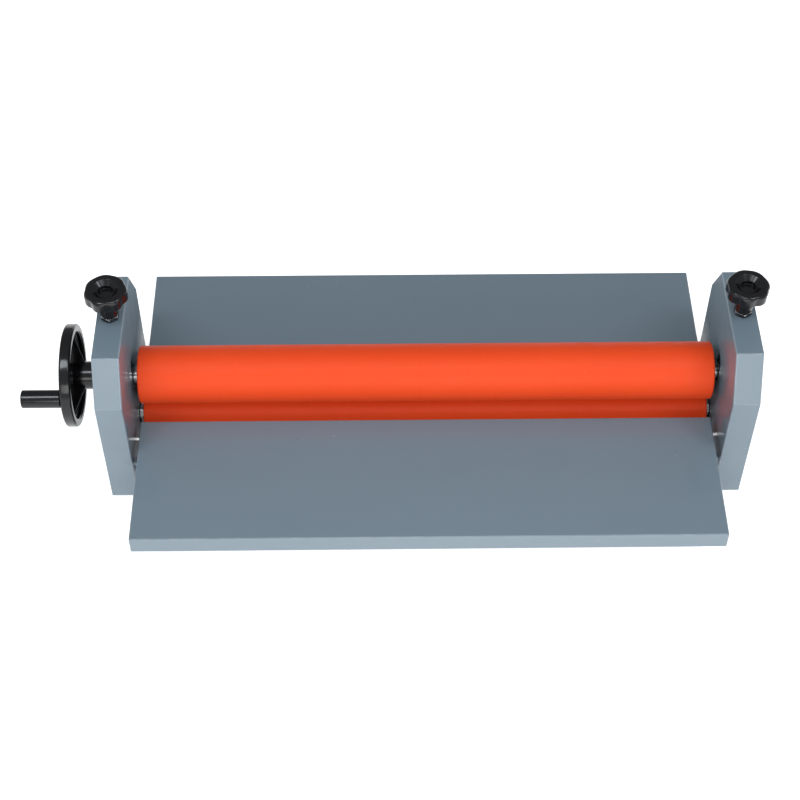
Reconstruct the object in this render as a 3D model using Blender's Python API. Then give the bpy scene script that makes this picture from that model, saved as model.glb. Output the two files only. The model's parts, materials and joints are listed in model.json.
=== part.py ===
"""Hand-cranked cold roll laminator, 650 mm class, as separate sub-parts.

Metres, +Z up. The machine's own axes have X along the rollers (right positive), Y to the back and Z up from
the surface that the feet stand on; y = 0 is the plane through both roller axes. The empty machine_axes moves
them so that the world origin is under the centre of the whole machine.
Each side's pieces hang on an empty of their own, in which +X points outwards from the middle of the machine.
"""

import math

import bmesh
import bpy
from mathutils import Matrix, Vector

# Driving dimensions ---------------------------------------------------------------------------------------

GAP = 0.0003                      # clearance between neighbouring pieces

FOOT_HEIGHT = 0.003
ROLLER_RADIUS = 0.034
ROLLER_HALF_LENGTH = 0.335
NIP_GAP = 0.0004
LOWER_AXIS_HEIGHT = 0.0440        # above the housing's underside
SLEEVE_THICKNESS = 0.006
TUBE_WALL = 0.004
LIFT = 0.015                      # travel of the upper roller

HOUSING_INNER = 0.3424            # distance of the inner face from the middle of the machine
HOUSING_OUTER = 0.3733
HOUSING_HEIGHT = 0.2133
HOUSING_HALF_DEPTH = 0.0934
HOUSING_TOP_HALF_DEPTH = 0.063
SHOULDER_HEIGHT = 0.161           # where the vertical sides end
WALL = 0.003                      # inner wall of the side frame
BAND = 0.0025                     # rim of the side frame
LUG_SIZE = 0.012                  # tapped lugs for the cover's screws
COVER = 0.0015                    # outer cover

BLOCK_HALF_WIDTH = 0.023
BLOCK_HALF_HEIGHT = 0.0225
GUIDE_WIDTH = 0.006
BEARING_RADIUS = 0.0175
BEARING_START = 0.3475
BEARING_WIDTH = 0.010
JOURNAL_RADIUS = 0.0085
SHOULDER_RADIUS = 0.010
COLLAR_RADIUS = 0.014
PLUG_LENGTH = 0.034
WALL_SLOT_HALF_WIDTH = 0.014
COVER_SLOT_HALF_WIDTH = 0.012

TABLE_HALF_WIDTH = 0.335
TABLE_INNER_EDGE = 0.0433         # distance from the plane of the rollers
FRONT_REACH = 0.2125
REAR_REACH = 0.1925
TABLE_LIP = 0.0230
TABLE_SHEET = 0.0015
PIVOT_INSET = 0.0177
PIVOT_DROP = 0.010
PIVOT_RADIUS = 0.0025
STOP_OFFSET = 0.024               # from the pivot, away from the rollers

TIE_BAR_RADIUS = 0.008
TIE_BAR_OFFSET = 0.060
TIE_BAR_HEIGHT = 0.022
BOLT_RADIUS = 0.004

STUD_RADIUS = 0.006
NUT_ACROSS_CORNERS = 0.0219
NUT_HEIGHT = 0.0052
KNOB_TIP_RADIUS = 0.0245
KNOB_LOBES = 7
KNOB_LOBE_RADIUS = 0.0108         # of the arc that rounds one lobe, seen from above
LOBE_FILLET = 0.0008              # softening where two lobes meet
KNOB_TURN_LEFT = 22               # degrees from +X to the first lobe
KNOB_TURN_RIGHT = 4
KNOB_NECK_RADIUS = 0.0100
KNOB_BASE = 0.0064                # above the housing's top
KNOB_DISC_BASE = 0.0290
KNOB_TOP = 0.0462
KNOB_EDGE = 0.0050                # rounding of the top edge
KNOB_FLARE = 0.010                # height over which the neck widens into the lobes
KNOB_DISH_RADIUS = 0.0150
KNOB_DISH_DEPTH = 0.0045
KNOB_WELL_RADIUS = 0.0088         # of the round well in the middle of the dish
KNOB_WELL_DEPTH = 0.0090
KNOB_FLOOR = 0.003                # between the well and the stud

WHEEL_RADIUS = 0.0608
RIM_THICKNESS = 0.0095
RIM_INNER = 0.4076
RIM_OUTER = 0.4205
HUB_RADIUS = 0.0165
HUB_INNER = 0.3765
BUSH_RADIUS = 0.011
BOSS_INNER = 0.4100
BOSS_RADIUS = 0.0085
WEB = 0.004
RIB_ANGLES = (350, 110, 230)
RIB_THICKNESS = 0.004
CRANK_RADIUS = 0.0495
CRANK_ANGLE = 16.2
SET_SCREW_ANGLE = -39.7
GRIP_RADIUS = 0.0108
GRIP_END = 0.4660

# Derived values -------------------------------------------------------------------------------------------

LOWER_AXIS_Z = FOOT_HEIGHT + LOWER_AXIS_HEIGHT
UPPER_AXIS_Z = LOWER_AXIS_Z + 2 * ROLLER_RADIUS + NIP_GAP
TOP_Z = FOOT_HEIGHT + HOUSING_HEIGHT
TABLE_TOP_Z = UPPER_AXIS_Z - ROLLER_RADIUS
PIVOT_Z = TABLE_TOP_Z - PIVOT_DROP
PIVOT_OFFSET = TABLE_INNER_EDGE + PIVOT_INSET
MID_WIDTH = (HOUSING_INNER + HOUSING_OUTER) / 2
WALL_OUTER = HOUSING_INNER + WALL
COVER_INNER = HOUSING_OUTER - COVER
BLOCK_HALF_THICKNESS = MID_WIDTH - WALL_OUTER - GAP
TUBE_RADIUS = ROLLER_RADIUS - SLEEVE_THICKNESS
TUBE_BORE = TUBE_RADIUS - TUBE_WALL
STUD_END = KNOB_TOP - KNOB_WELL_DEPTH - KNOB_FLOOR
RIGHT_REACH = MID_WIDTH + KNOB_TIP_RADIUS * math.cos(math.radians(KNOB_TURN_RIGHT))
OFFSET_X = (GRIP_END - RIGHT_REACH) / 2
OFFSET_Y = (FRONT_REACH - REAR_REACH) / 2
SHOULDER_SLOPE = (HOUSING_HALF_DEPTH - HOUSING_TOP_HALF_DEPTH) / (HOUSING_HEIGHT - SHOULDER_HEIGHT)
SCREW_PLACES = ((-0.080, 0.024), (0.080, 0.024), (-0.060, 0.176), (0.060, 0.176))

LEFT = "left"
RIGHT = "right"
FINISHES = {
    "grey_paint": ((0.135, 0.190, 0.236), 0.38, 0.0),
    "roller_rubber": ((0.83, 0.085, 0.025), 0.55, 0.0),
    "black_bakelite": ((0.012, 0.012, 0.014), 0.22, 0.0),
    "bright_steel": ((0.62, 0.62, 0.62), 0.25, 1.0),
    "dark_steel": ((0.09, 0.09, 0.095), 0.40, 1.0),
    "cast_block": ((0.20, 0.20, 0.21), 0.60, 1.0),
    "foot_rubber": ((0.02, 0.02, 0.02), 0.80, 0.0),
}


# Modelling tools ------------------------------------------------------------------------------------------


def clear_scene():
    for item in list(bpy.data.objects):
        bpy.data.objects.remove(item, do_unlink=True)


def make_materials():
    for name, (colour, roughness, metallic) in FINISHES.items():
        material = bpy.data.materials.new(name)
        material.use_nodes = True
        shader = material.node_tree.nodes["Principled BSDF"]
        shader.inputs["Base Color"].default_value = (*colour, 1.0)
        shader.inputs["Roughness"].default_value = roughness
        shader.inputs["Metallic"].default_value = metallic


def add_empty(name, parent=None, location=(0, 0, 0), turn=0.0):
    empty = bpy.data.objects.new(name, None)
    bpy.context.scene.collection.objects.link(empty)
    empty.parent = parent
    empty.location = location
    empty.rotation_euler = (0, 0, turn)
    return empty


def add_piece(name, shape, finish, parent, location=(0, 0, 0), turn=0.0):
    """Make an object of a bmesh; turn is its rotation about its own Z."""
    bmesh.ops.recalc_face_normals(shape, faces=shape.faces)
    mesh = bpy.data.meshes.new(name)
    shape.to_mesh(mesh)
    shape.free()
    mesh.shade_smooth()
    mesh.set_sharp_from_angle(angle=math.radians(35))
    mesh.materials.append(bpy.data.materials[finish])
    piece = bpy.data.objects.new(name, mesh)
    bpy.context.scene.collection.objects.link(piece)
    piece.parent = parent
    piece.location = location
    piece.rotation_euler = (0, 0, turn)
    return piece


def combine(piece, operation, shapes):
    """Join ("UNION") or cut ("DIFFERENCE") shapes, given in the piece's own axes, with live Booleans."""
    for number, shape in enumerate(shapes):
        name = f"{piece.name}_{operation.lower()}_{number}"
        tool = add_piece(name, shape, piece.active_material.name, piece)
        tool.hide_render = True
        tool.display_type = "WIRE"
        change = piece.modifiers.new(tool.name, "BOOLEAN")
        change.operation = operation
        change.solver = "EXACT"
        change.object = tool


def loft(rings, closed):
    """Skin equal rings of points; closed joins the last ring to the first, otherwise both ends are capped."""
    shape = bmesh.new()
    loops = [[shape.verts.new(point) for point in ring] for ring in rings]
    pairs = list(zip(loops, loops[1:]))
    if closed:
        pairs.append((loops[-1], loops[0]))
    count = len(loops[0])
    for first, second in pairs:
        for i in range(count):
            j = (i + 1) % count
            shape.faces.new((first[i], first[j], second[j], second[i]))
    if not closed:
        shape.faces.new(loops[0])
        shape.faces.new(loops[-1])
    return shape


def turned(profile, segments, bored=False, upright=False):
    """Turn (distance along the axis, radius) points about X, or about Z when upright."""
    angles = [2 * math.pi * k / segments for k in range(segments)]
    if upright:
        rings = [[(r * math.cos(a), r * math.sin(a), along) for a in angles] for along, r in profile]
    else:
        rings = [[(along, r * math.cos(a), r * math.sin(a)) for a in angles] for along, r in profile]
    return loft(rings, bored)


def bar(start, end, radius, segments=12, upright=False):
    return turned([(start, radius), (end, radius)], segments, upright=upright)


def block(low, high):
    size = Vector(high) - Vector(low)
    centre = (Vector(high) + Vector(low)) / 2
    shape = bmesh.new()
    bmesh.ops.create_cube(shape, size=1.0, matrix=Matrix.LocRotScale(centre, None, size))
    return shape


def extruded(outline, start, end):
    """Extrude a closed (y, z) outline along X."""
    return loft([[(x, y, z) for y, z in outline] for x in (start, end)], False)


def moved(shape, offset):
    bmesh.ops.translate(shape, verts=shape.verts, vec=offset)
    return shape


def spun(shape, degrees):
    """Turn a shape about X, from +Y towards +Z."""
    bmesh.ops.rotate(shape, verts=shape.verts, matrix=Matrix.Rotation(math.radians(degrees), 3, "X"))
    return shape


def slot_outline(half_width, low, high, arc_points=7):
    """A vertical slot with round ends, whose end arcs are centred at the heights low and high."""
    top = [math.pi * k / (arc_points - 1) for k in range(arc_points)]
    points = [(half_width * math.cos(a), high + half_width * math.sin(a)) for a in top]
    points += [(-half_width * math.cos(a), low - half_width * math.sin(a)) for a in top]
    return points


def housing_outline(inset):
    """The housing's six-sided outline in (y, z), every side moved inwards by inset."""
    corners = [
        (-HOUSING_HALF_DEPTH, FOOT_HEIGHT),
        (HOUSING_HALF_DEPTH, FOOT_HEIGHT),
        (HOUSING_HALF_DEPTH, FOOT_HEIGHT + SHOULDER_HEIGHT),
        (HOUSING_TOP_HALF_DEPTH, TOP_Z),
        (-HOUSING_TOP_HALF_DEPTH, TOP_Z),
        (-HOUSING_HALF_DEPTH, FOOT_HEIGHT + SHOULDER_HEIGHT),
    ]
    points = [Vector(corner) for corner in corners]
    result = []
    for i, point in enumerate(points):
        before = (point - points[i - 1]).normalized()
        after = (points[(i + 1) % len(points)] - point).normalized()
        normals = [Vector((-edge.y, edge.x)) for edge in (before, after)]
        result.append(point + inset * (normals[0] + normals[1]) / (1 + normals[0].dot(normals[1])))
    return [tuple(point) for point in result]


# The side frames ------------------------------------------------------------------------------------------


def make_side_frame(side, axes):
    """A welded pan: inner wall and rim, with guides, a ledge, screw lugs and table stops inside and out."""
    frame = add_piece(f"{side}_side_frame", extruded(housing_outline(0), HOUSING_INNER, HOUSING_OUTER),
                      "grey_paint", axes)
    combine(frame, "DIFFERENCE", [extruded(housing_outline(BAND), WALL_OUTER, HOUSING_OUTER + WALL)])

    guide_start = BLOCK_HALF_WIDTH + GAP
    guide_end = guide_start + GUIDE_WIDTH
    ledge_top = LOWER_AXIS_Z - BLOCK_HALF_HEIGHT - GAP
    guide_top = UPPER_AXIS_Z + BLOCK_HALF_HEIGHT + LIFT
    deep = WALL_OUTER - WALL / 2
    guides = [block((deep, low, ledge_top - GUIDE_WIDTH), (MID_WIDTH, low + GUIDE_WIDTH, guide_top))
              for low in (guide_start, -guide_end)]
    ledge_half = guide_start + WALL
    ledge = block((deep, -ledge_half, ledge_top - GUIDE_WIDTH), (MID_WIDTH, ledge_half, ledge_top))
    stop_z = TABLE_TOP_Z - TABLE_LIP - GAP - PIVOT_RADIUS
    stop_y = PIVOT_OFFSET + STOP_OFFSET
    stops = [moved(bar(TABLE_HALF_WIDTH - 0.003, deep, PIVOT_RADIUS), (0, sign * stop_y, stop_z))
             for sign in (1, -1)]
    lugs = [make_lug(y, z) for y, z in SCREW_PLACES]
    combine(frame, "UNION", guides + [ledge] + stops + lugs)

    through = (HOUSING_INNER - 0.01, WALL_OUTER + 0.004)
    cuts = [extruded(slot_outline(WALL_SLOT_HALF_WIDTH, UPPER_AXIS_Z, UPPER_AXIS_Z + LIFT), *through)]
    cuts.append(moved(bar(*through, WALL_SLOT_HALF_WIDTH, 20), (0, 0, LOWER_AXIS_Z)))
    for sign in (1, -1):
        cuts.append(moved(bar(*through, PIVOT_RADIUS + GAP), (0, sign * PIVOT_OFFSET, PIVOT_Z)))
        cuts.append(moved(bar(*through, BOLT_RADIUS + GAP), (0, sign * TIE_BAR_OFFSET, TIE_BAR_HEIGHT)))
    cuts.append(moved(bar(-0.01, 0.01, STUD_RADIUS + GAP, upright=True), (MID_WIDTH, 0, TOP_Z)))
    for y, z in SCREW_PLACES:
        cuts.append(moved(bar(COVER_INNER - 0.012, HOUSING_OUTER, 0.0023, 8), (0, y, z)))
    combine(frame, "DIFFERENCE", cuts)


def make_lug(y, z):
    """A tapped lug behind one cover screw, reaching into the nearest stretch of the rim."""
    half = LUG_SIZE / 2
    outline = []
    for height in (z - half, z + half):
        above_side = max(0.0, height - FOOT_HEIGHT - SHOULDER_HEIGHT)
        rim_y = HOUSING_HALF_DEPTH - SHOULDER_SLOPE * above_side - BAND / 2
        outline.append((math.copysign(rim_y, y), height))
    inner_y = y - math.copysign(half, y)
    outline += [(inner_y, z + half), (inner_y, z - half)]
    return extruded(outline, COVER_INNER - 0.011, COVER_INNER - GAP)


def make_cover(side, axes):
    """The flat outer cover, set into the rim; the left one has a slot for the handwheel's shaft."""
    sheet = extruded(housing_outline(BAND + GAP), COVER_INNER, HOUSING_OUTER)
    cover = add_piece(f"{side}_outer_cover", sheet, "grey_paint", axes)
    through = (COVER_INNER - 0.005, HOUSING_OUTER + 0.005)
    cuts = [moved(bar(*through, 0.0043, 8), (0, y, z)) for y, z in SCREW_PLACES]
    if side == LEFT:
        slot = slot_outline(COVER_SLOT_HALF_WIDTH, UPPER_AXIS_Z, UPPER_AXIS_Z + LIFT)
        cuts.append(extruded(slot, *through))
    combine(cover, "DIFFERENCE", cuts)


def make_cover_screws(side, axes):
    profile = [(-0.009, 0.0020), (-COVER, 0.0020), (-COVER, 0.0024), (0.0, 0.0038)]
    names = ("lower_rear", "lower_front", "upper_rear", "upper_front")
    if side == RIGHT:
        names = ("lower_front", "lower_rear", "upper_front", "upper_rear")
    for name, (y, z) in zip(names, SCREW_PLACES):
        add_piece(f"{side}_cover_screw_{name}", turned(profile, 8), "bright_steel", axes,
                  (HOUSING_OUTER, y, z))


def make_feet(side, axes):
    height = FOOT_HEIGHT - GAP
    profile = [(0.0, 0.0110), (height, 0.0125)]
    for place, sign in (("front", -1), ("rear", 1)):
        local = sign if side == RIGHT else -sign
        add_piece(f"{side}_{place}_foot", turned(profile, 24, upright=True), "foot_rubber", axes,
                  (MID_WIDTH, local * (HOUSING_HALF_DEPTH - 0.015), 0))


def make_pressure_nut(side, axes):
    """The hex nut on top of the housing that the knob's stud runs in."""
    radius = NUT_ACROSS_CORNERS / 2
    nut = add_piece(f"{side}_pressure_nut", bar(0, NUT_HEIGHT, radius, 6, upright=True), "dark_steel", axes,
                    (MID_WIDTH, 0, TOP_Z + GAP), turn=math.radians(90))
    combine(nut, "DIFFERENCE", [bar(-0.01, 0.02, STUD_RADIUS + GAP, 20, upright=True)])


# The bearings and their blocks ----------------------------------------------------------------------------


def make_bearing_block(name, axes, axis_z):
    low = (-BLOCK_HALF_THICKNESS, -BLOCK_HALF_WIDTH, -BLOCK_HALF_HEIGHT)
    high = (BLOCK_HALF_THICKNESS, BLOCK_HALF_WIDTH, BLOCK_HALF_HEIGHT)
    piece = add_piece(name, block(low, high), "cast_block", axes, (MID_WIDTH, 0, axis_z))
    combine(piece, "DIFFERENCE", [bar(-0.02, 0.02, BEARING_RADIUS + GAP, 24)])


def make_bearing(name, axes, axis_z):
    """A closed ball bearing as one ring, with the step between its races and shields."""
    bore = JOURNAL_RADIUS + GAP
    step = 0.0006
    race = 0.003
    profile = [
        (0, bore), (0, bore + race), (step, bore + race), (step, BEARING_RADIUS - race),
        (0, BEARING_RADIUS - race), (0, BEARING_RADIUS), (BEARING_WIDTH, BEARING_RADIUS),
        (BEARING_WIDTH, bore),
    ]
    add_piece(name, turned(profile, 20, bored=True), "bright_steel", axes, (BEARING_START, 0, axis_z))


def make_spring(side, axes):
    """The lift spring between the lower and the upper bearing block."""
    wire = 0.0011
    coil_radius = 0.0060
    turns = 4
    steps = 9
    sides = 4
    low = LOWER_AXIS_Z + BLOCK_HALF_HEIGHT + GAP + wire
    height = UPPER_AXIS_Z - BLOCK_HALF_HEIGHT - GAP - wire - low
    rings = []
    for k in range(turns * steps + 1):
        angle = 2 * math.pi * k / steps
        outward = Vector((math.cos(angle), math.sin(angle), 0))
        centre = coil_radius * outward + Vector((0, 0, height * k / (turns * steps)))
        rings.append([centre + wire * (math.cos(a) * outward + math.sin(a) * Vector((0, 0, 1)))
                      for a in (2 * math.pi * s / sides for s in range(sides))])
    add_piece(f"{side}_lift_spring", loft(rings, False), "bright_steel", axes, (MID_WIDTH, 0, low))


# The rollers ----------------------------------------------------------------------------------------------


def make_roller(name, machine, axis_z):
    """Rubber sleeve on a steel tube."""
    edge = 0.0012
    half = ROLLER_HALF_LENGTH
    bore = TUBE_RADIUS + GAP
    sleeve = [(-half, bore), (-half, ROLLER_RADIUS - edge), (edge - half, ROLLER_RADIUS),
              (half - edge, ROLLER_RADIUS), (half, ROLLER_RADIUS - edge), (half, bore)]
    add_piece(f"{name}_roller_sleeve", turned(sleeve, 40, bored=True), "roller_rubber", machine,
              (0, 0, axis_z))
    tube_half = half - 0.0005
    tube = [(-tube_half, TUBE_BORE), (-tube_half, TUBE_RADIUS), (tube_half, TUBE_RADIUS),
            (tube_half, TUBE_BORE)]
    add_piece(f"{name}_roller_tube", turned(tube, 32, bored=True), "bright_steel", machine,
              (0, 0, axis_z))


def make_journal(name, axes, axis_z, end):
    """A plug in the roller's tube that steps down to the bearing's seat."""
    face = ROLLER_HALF_LENGTH - 0.0005
    collar_end = face + 0.003
    shoulder_end = BEARING_START - GAP
    profile = [
        (face - PLUG_LENGTH, TUBE_BORE - GAP), (face, TUBE_BORE - GAP), (face, COLLAR_RADIUS),
        (collar_end, COLLAR_RADIUS), (collar_end, SHOULDER_RADIUS), (shoulder_end, SHOULDER_RADIUS),
        (shoulder_end, JOURNAL_RADIUS), (end, JOURNAL_RADIUS),
    ]
    add_piece(name, turned(profile, 20), "bright_steel", axes, (0, 0, axis_z))


# The handwheel and its crank ------------------------------------------------------------------------------


def make_handwheel(axes):
    """A dished wheel of black moulding: hub, web, rim and three ribs, with a boss for the crank's bolt."""
    rim_bore = WHEEL_RADIUS - RIM_THICKNESS
    edge = 0.002
    bore = BUSH_RADIUS + GAP
    web_inner = RIM_OUTER - 0.0015 - WEB
    profile = [
        (HUB_INNER, bore), (HUB_INNER, HUB_RADIUS), (web_inner - 0.001, HUB_RADIUS), (web_inner, rim_bore),
        (RIM_INNER + edge, rim_bore), (RIM_INNER, rim_bore + edge), (RIM_INNER, WHEEL_RADIUS - edge),
        (RIM_INNER + edge, WHEEL_RADIUS), (RIM_OUTER - edge, WHEEL_RADIUS), (RIM_OUTER, WHEEL_RADIUS - edge),
        (RIM_OUTER, rim_bore + edge), (RIM_OUTER - 0.0015, rim_bore), (RIM_OUTER - 0.0025, HUB_RADIUS),
        (RIM_OUTER, HUB_RADIUS - 0.001), (RIM_OUTER, bore),
    ]
    wheel = add_piece("handwheel", turned(profile, 32, bored=True), "black_bakelite", axes,
                      (0, 0, UPPER_AXIS_Z))
    ribs = [make_rib(angle, rim_bore) for angle in RIB_ANGLES]
    crank = crank_offset()
    boss = moved(bar(BOSS_INNER, RIM_OUTER, BOSS_RADIUS, 20), crank)
    combine(wheel, "UNION", ribs + [boss])
    screw_hole = bar(0.008, HUB_RADIUS + 0.01, 0.003 + GAP, 12, upright=True)
    screw_hole = moved(spun(screw_hole, SET_SCREW_ANGLE - 90), (HUB_INNER + 0.007, 0, 0))
    bolt_hole = moved(bar(RIM_INNER - 0.01, RIM_OUTER + 0.01, BOLT_RADIUS + GAP), crank)
    combine(wheel, "DIFFERENCE", [screw_hole, bolt_hole])


def make_rib(angle, rim_bore):
    """One rib of the wheel: its free edge runs from the rim's inner face up to the hub."""
    hub_side = RIM_INNER - 0.010
    outline = [(hub_side, HUB_RADIUS - 0.003), (RIM_OUTER - 0.004, HUB_RADIUS - 0.003),
               (RIM_OUTER - 0.004, rim_bore + 0.002), (RIM_INNER + 0.001, rim_bore + 0.002)]
    half = RIB_THICKNESS / 2
    rings = [[(x, y, across) for x, y in outline] for across in (-half, half)]
    return spun(loft(rings, False), angle)


def crank_offset():
    angle = math.radians(CRANK_ANGLE)
    return Vector((0, CRANK_RADIUS * math.cos(angle), CRANK_RADIUS * math.sin(angle)))


def make_wheel_fittings(axes):
    """The steel bush in the hub, and the set screw that holds it on the journal."""
    bore = JOURNAL_RADIUS + GAP
    profile = [(HUB_INNER, bore), (HUB_INNER, BUSH_RADIUS), (RIM_OUTER, BUSH_RADIUS), (RIM_OUTER, bore)]
    bush = add_piece("handwheel_bush", turned(profile, 24, bored=True), "bright_steel", axes,
                     (0, 0, UPPER_AXIS_Z))
    screw_x = HUB_INNER + 0.007
    hole = moved(spun(bar(0.005, 0.02, 0.003 + GAP, 12, upright=True), SET_SCREW_ANGLE - 90), (screw_x, 0, 0))
    combine(bush, "DIFFERENCE", [hole])
    head = HUB_RADIUS + GAP
    profile = [(bore, 0.003), (head, 0.003), (head, 0.005), (head + 0.004, 0.005)]
    screw = spun(turned(profile, 12, upright=True), SET_SCREW_ANGLE - 90)
    add_piece("handwheel_set_screw", screw, "dark_steel", axes, (screw_x, 0, UPPER_AXIS_Z))


def make_crank(axes):
    """The revolving grip on its bolt, which is screwed into the wheel's boss."""
    centre = crank_offset() + Vector((0, 0, UPPER_AXIS_Z))
    start = RIM_OUTER + 0.0005
    head_start = GRIP_END - 0.0055
    head_radius = 0.0062
    clearance = 0.0004
    grip = [
        (start, BOLT_RADIUS + clearance), (start, GRIP_RADIUS - 0.0015), (start + 0.002, GRIP_RADIUS),
        (GRIP_END - 0.002, GRIP_RADIUS), (GRIP_END, GRIP_RADIUS - 0.0015),
        (GRIP_END, head_radius + clearance),
        (head_start - clearance, head_radius + clearance), (head_start - clearance, BOLT_RADIUS + clearance),
    ]
    add_piece("crank_grip", turned(grip, 18, bored=True), "black_bakelite", axes, centre)
    bolt = [(BOSS_INNER + 0.0005, BOLT_RADIUS), (head_start, BOLT_RADIUS),
            (head_start, head_radius), (GRIP_END - 0.0015, head_radius)]
    add_piece("crank_bolt", turned(bolt, 16), "bright_steel", axes, centre)


# The pressure knobs ---------------------------------------------------------------------------------------


def lobe_reach(angle):
    """Distance from the knob's axis to its outline: one arc for each lobe, softened where two arcs meet."""
    half = math.pi / KNOB_LOBES
    across = (angle + half) % (2 * half) - half
    centre = KNOB_TIP_RADIUS - KNOB_LOBE_RADIUS
    arc = centre * math.cos(across) + math.sqrt(KNOB_LOBE_RADIUS ** 2 - (centre * math.sin(across)) ** 2)
    return arc + LOBE_FILLET * (across / half) ** 8


def make_knob(side, axes, turn):
    """A knob with a neck, lobes that fade out at its round top, a dish and well, and a blind bore."""
    count = KNOB_LOBES * 6
    tip = KNOB_TIP_RADIUS
    bore = STUD_RADIUS + GAP
    flare_start = KNOB_DISC_BASE - KNOB_FLARE
    dish_floor = KNOB_TOP - KNOB_DISH_DEPTH
    levels = [
        (STUD_END + GAP, bore, 0), (KNOB_BASE, bore, 0), (KNOB_BASE, KNOB_NECK_RADIUS, 0),
        (flare_start, KNOB_NECK_RADIUS + 0.0005, 0), (flare_start + 0.6 * KNOB_FLARE, 0.0135, 0.3),
        (KNOB_DISC_BASE, tip - KNOB_EDGE, 0.8), (KNOB_DISC_BASE + KNOB_EDGE / 2, tip, 1),
        (KNOB_TOP - KNOB_EDGE, tip, 1), (KNOB_TOP - 0.3 * KNOB_EDGE, tip - 0.3 * KNOB_EDGE, 0.4),
        (KNOB_TOP, tip - KNOB_EDGE, 0), (KNOB_TOP, KNOB_DISH_RADIUS, 0),
        (dish_floor, KNOB_WELL_RADIUS + 0.001, 0), (dish_floor, KNOB_WELL_RADIUS, 0),
        (KNOB_TOP - KNOB_WELL_DEPTH, KNOB_WELL_RADIUS, 0),
    ]
    rings = []
    for z, radius, share in levels:
        ring = []
        for k in range(count):
            angle = 2 * math.pi * k / count
            reach = radius - share * (tip - lobe_reach(angle))
            ring.append((reach * math.cos(angle), reach * math.sin(angle), z))
        rings.append(ring)
    add_piece(f"{side}_pressure_knob", loft(rings, False), "black_bakelite", axes, (MID_WIDTH, 0, TOP_Z),
              math.radians(turn))


def make_pressure_stud(side, axes):
    """The threaded stud, from its tip on the bearing block to its end in the knob."""
    low = UPPER_AXIS_Z + BLOCK_HALF_HEIGHT + GAP - TOP_Z
    profile = [(low, 0.0045), (low + 0.002, STUD_RADIUS), (STUD_END - 0.001, STUD_RADIUS), (STUD_END, 0.005)]
    add_piece(f"{side}_pressure_stud", turned(profile, 20, upright=True), "bright_steel", axes,
              (MID_WIDTH, 0, TOP_Z))


# The tables and the tie bars ------------------------------------------------------------------------------


def make_table(name, machine, reach, front):
    """A folded sheet tray hung on its two pivot studs; its own +Y points away from the rollers."""
    sign = -1 if front else 1
    outer = reach - PIVOT_OFFSET
    top = PIVOT_DROP
    bottom = top - TABLE_LIP
    slab = block((-TABLE_HALF_WIDTH, -PIVOT_INSET, bottom), (TABLE_HALF_WIDTH, outer, top))
    tray = add_piece(f"{name}_table", slab, "grey_paint", machine, (0, sign * PIVOT_OFFSET, PIVOT_Z),
                     math.pi if front else 0.0)
    inside = TABLE_HALF_WIDTH - TABLE_SHEET
    hollow = block((-inside, TABLE_SHEET - PIVOT_INSET, bottom - 0.01),
                   (inside, outer - TABLE_SHEET, top - TABLE_SHEET))
    pivots = bar(-TABLE_HALF_WIDTH - 0.01, TABLE_HALF_WIDTH + 0.01, PIVOT_RADIUS + GAP)
    combine(tray, "DIFFERENCE", [hollow, pivots])


def make_pivot_studs(side, axes):
    head_start = WALL_OUTER + GAP
    profile = [(TABLE_HALF_WIDTH - 0.006, PIVOT_RADIUS), (head_start, PIVOT_RADIUS), (head_start, 0.0055),
               (head_start + 0.004, 0.0055)]
    for place, sign in (("front", -1), ("rear", 1)):
        local = sign if side == RIGHT else -sign
        add_piece(f"{side}_{place}_table_pivot", turned(profile, 12), "bright_steel", axes,
                  (0, local * PIVOT_OFFSET, PIVOT_Z))


def make_tie_bars(machine):
    end = HOUSING_INNER - GAP
    for place, sign in (("front", -1), ("rear", 1)):
        piece = add_piece(f"{place}_tie_bar", bar(-end, end, TIE_BAR_RADIUS, 16), "grey_paint", machine,
                          (0, sign * TIE_BAR_OFFSET, TIE_BAR_HEIGHT))
        holes = [bar(start, start + 0.026, BOLT_RADIUS + GAP) for start in (end - 0.016, -end - 0.010)]
        combine(piece, "DIFFERENCE", holes)


def make_tie_bolts(side, axes):
    head_start = WALL_OUTER + GAP
    for place, sign in (("front", -1), ("rear", 1)):
        local = sign if side == RIGHT else -sign
        location = (0, local * TIE_BAR_OFFSET, TIE_BAR_HEIGHT)
        bolt = bar(HOUSING_INNER - 0.014, head_start + 0.001, BOLT_RADIUS)
        piece = add_piece(f"{side}_{place}_tie_bolt", bolt, "dark_steel", axes, location)
        combine(piece, "UNION", [bar(head_start, head_start + 0.0053, 0.0075, 6)])


# The whole machine ----------------------------------------------------------------------------------------


def make_side(side, machine):
    axes = add_empty(f"{side}_side_axes", machine, turn=math.pi if side == LEFT else 0.0)
    make_side_frame(side, axes)
    make_cover(side, axes)
    make_cover_screws(side, axes)
    make_feet(side, axes)
    make_pressure_nut(side, axes)
    make_bearing_block(f"{side}_lower_bearing_block", axes, LOWER_AXIS_Z)
    make_bearing_block(f"{side}_upper_bearing_block", axes, UPPER_AXIS_Z)
    make_bearing(f"{side}_lower_bearing", axes, LOWER_AXIS_Z)
    make_bearing(f"{side}_upper_bearing", axes, UPPER_AXIS_Z)
    make_spring(side, axes)
    short_end = MID_WIDTH + BLOCK_HALF_THICKNESS - 0.002
    make_journal(f"{side}_lower_journal", axes, LOWER_AXIS_Z, short_end)
    upper_end = RIM_OUTER - 0.001 if side == LEFT else short_end
    make_journal(f"{side}_upper_journal", axes, UPPER_AXIS_Z, upper_end)
    make_pressure_stud(side, axes)
    make_knob(side, axes, KNOB_TURN_LEFT if side == LEFT else KNOB_TURN_RIGHT)
    make_pivot_studs(side, axes)
    make_tie_bolts(side, axes)
    if side == LEFT:
        make_handwheel(axes)
        make_wheel_fittings(axes)
        make_crank(axes)


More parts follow.
